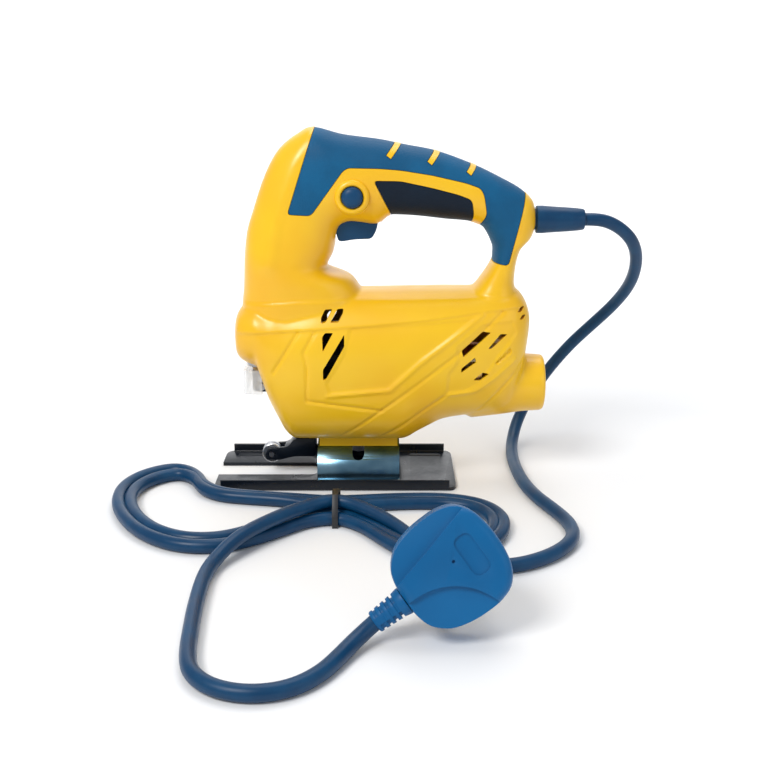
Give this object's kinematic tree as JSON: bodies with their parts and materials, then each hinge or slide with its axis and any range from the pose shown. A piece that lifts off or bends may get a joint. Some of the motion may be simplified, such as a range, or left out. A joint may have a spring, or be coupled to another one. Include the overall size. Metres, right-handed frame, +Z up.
{
  "type": "jigsaw power tool",
  "caption": "Corded jigsaw with a closed top handle, reciprocating plunger, tilting sole, dust port and a mains lead ending in a plug.",
  "frame": {"origin": "underside of the sole, at the middle of its length and width", "axes": "+Z up from the sole, -X towards the blade end, +X towards the cord end, Y across the tool"},
  "size_m": [0.2962, 0.3108, 0.1946],
  "materials": {
    "body_yellow": "moulded amber-yellow plastic, satin sheen",
    "grip_navy": "soft over-moulded grip, fine texture",
    "screw_steel": "zinc-plated screws",
    "machined_steel": "machined steel",
    "lamination_steel": "stacked laminations",
    "copper": "enamelled copper",
    "brass": "brass",
    "carbon": "carbon brush",
    "cast_alloy": "die-cast alloy",
    "bronze": "sintered bronze",
    "sole_black": "black painted pressed steel",
    "zinc_plate": "bright zinc plate",
    "inner_plastic": "dark plastic",
    "clear_plastic": "clear plastic",
    "cord_navy": "navy-blue cord sheath",
    "plug_blue": "blue moulded plug"
  },
  "bodies": {
    "housing": {"housing_left": "body_yellow", "housing_right": "body_yellow", "grip_cover_left": "grip_navy", "grip_cover_right": "grip_navy", "palm_pad_left": "grip_navy", "palm_pad_right": "grip_navy", "housing_screw_1": "screw_steel", "housing_screw_2": "screw_steel", "housing_screw_3": "screw_steel", "housing_screw_4": "screw_steel", "housing_screw_5": "screw_steel", "housing_screw_6": "screw_steel", "base_bolt": "screw_steel", "bearing_front": "machined_steel", "bearing_rear": "machined_steel", "gear_axle": "machined_steel", "roller_pin": "machined_steel", "trigger_spring": "machined_steel", "stator_core": "lamination_steel", "field_coil_upper": "copper", "field_coil_lower": "copper", "brush_holder_left": "brass", "brush_holder_right": "brass", "plug_pin_earth": "brass", "plug_pin_live": "brass", "plug_pin_neutral": "brass", "carbon_brush_left": "carbon", "carbon_brush_right": "carbon", "gear_case": "cast_alloy", "plunger_bushing_upper": "bronze", "plunger_bushing_lower": "bronze", "roller_bracket": "sole_black", "switch_body": "inner_plastic", "cord_clamp": "inner_plastic", "cord_tie": "inner_plastic", "cord_lead": "cord_navy", "cord_tail": "cord_navy", "cord_hank": "cord_navy", "strain_relief": "cord_navy", "plug_body": "plug_blue", "plug_relief": "plug_blue"},
    "trigger": {"trigger": "grip_navy"},
    "lock_button": {"lock_button": "grip_navy", "lock_spring": "machined_steel"},
    "armature": {"armature_shaft": "machined_steel", "armature_core": "lamination_steel", "commutator": "copper", "cooling_fan": "inner_plastic"},
    "drive_gear": {"drive_gear": "machined_steel"},
    "plunger": {"plunger": "machined_steel", "blade_clamp": "sole_black", "clamp_screw_1": "screw_steel", "clamp_screw_2": "screw_steel"},
    "guide_roller": {"guide_roller": "machined_steel"},
    "sole": {"sole_plate": "sole_black", "tilt_bracket": "zinc_plate"},
    "dust_guard": {"dust_guard": "clear_plastic"}
  },
  "joints": [
    {"name": "trigger_pull", "type": "slide", "parent": "housing", "child": "trigger", "axis": [0, 0, 1], "range_m": [0, 0.005], "stiffness_N_per_m": 500, "springref_m": -0.004, "deforming": ["trigger_spring"]},
    {"name": "lock_button_push", "type": "slide", "parent": "housing", "child": "lock_button", "axis": [0, 1, 0], "range_m": [0, 0.003], "stiffness_N_per_m": 500, "springref_m": -0.003},
    {"name": "armature_spin", "type": "hinge", "parent": "housing", "child": "armature", "pos_m": [0, 0, 0.0669], "axis": [1, 0, 0], "continuous": true},
    {"name": "drive_gear_spin", "type": "hinge", "parent": "housing", "child": "drive_gear", "pos_m": [-0.027, 0, 0.0865], "axis": [1, 0, 0], "continuous": true},
    {"name": "plunger_stroke", "type": "slide", "parent": "housing", "child": "plunger", "axis": [0, 0, 1], "range_m": [-0.016, 0]},
    {"name": "guide_roller_spin", "type": "hinge", "parent": "housing", "child": "guide_roller", "pos_m": [-0.037, 0, 0.0125], "axis": [0, 1, 0], "continuous": true},
    {"name": "sole_tilt", "type": "hinge", "parent": "housing", "child": "sole", "pos_m": [0, 0, 0.002], "axis": [1, 0, 0], "range_deg": [-45, 45]},
    {"name": "dust_guard_pull", "type": "slide", "parent": "housing", "child": "dust_guard", "axis": [-1, 0, 0], "range_m": [0, 0.02]}
  ],
  "couplings": [
    {"joint": "drive_gear_spin", "follows": "armature_spin", "ratio": -0.16667}
  ]
}
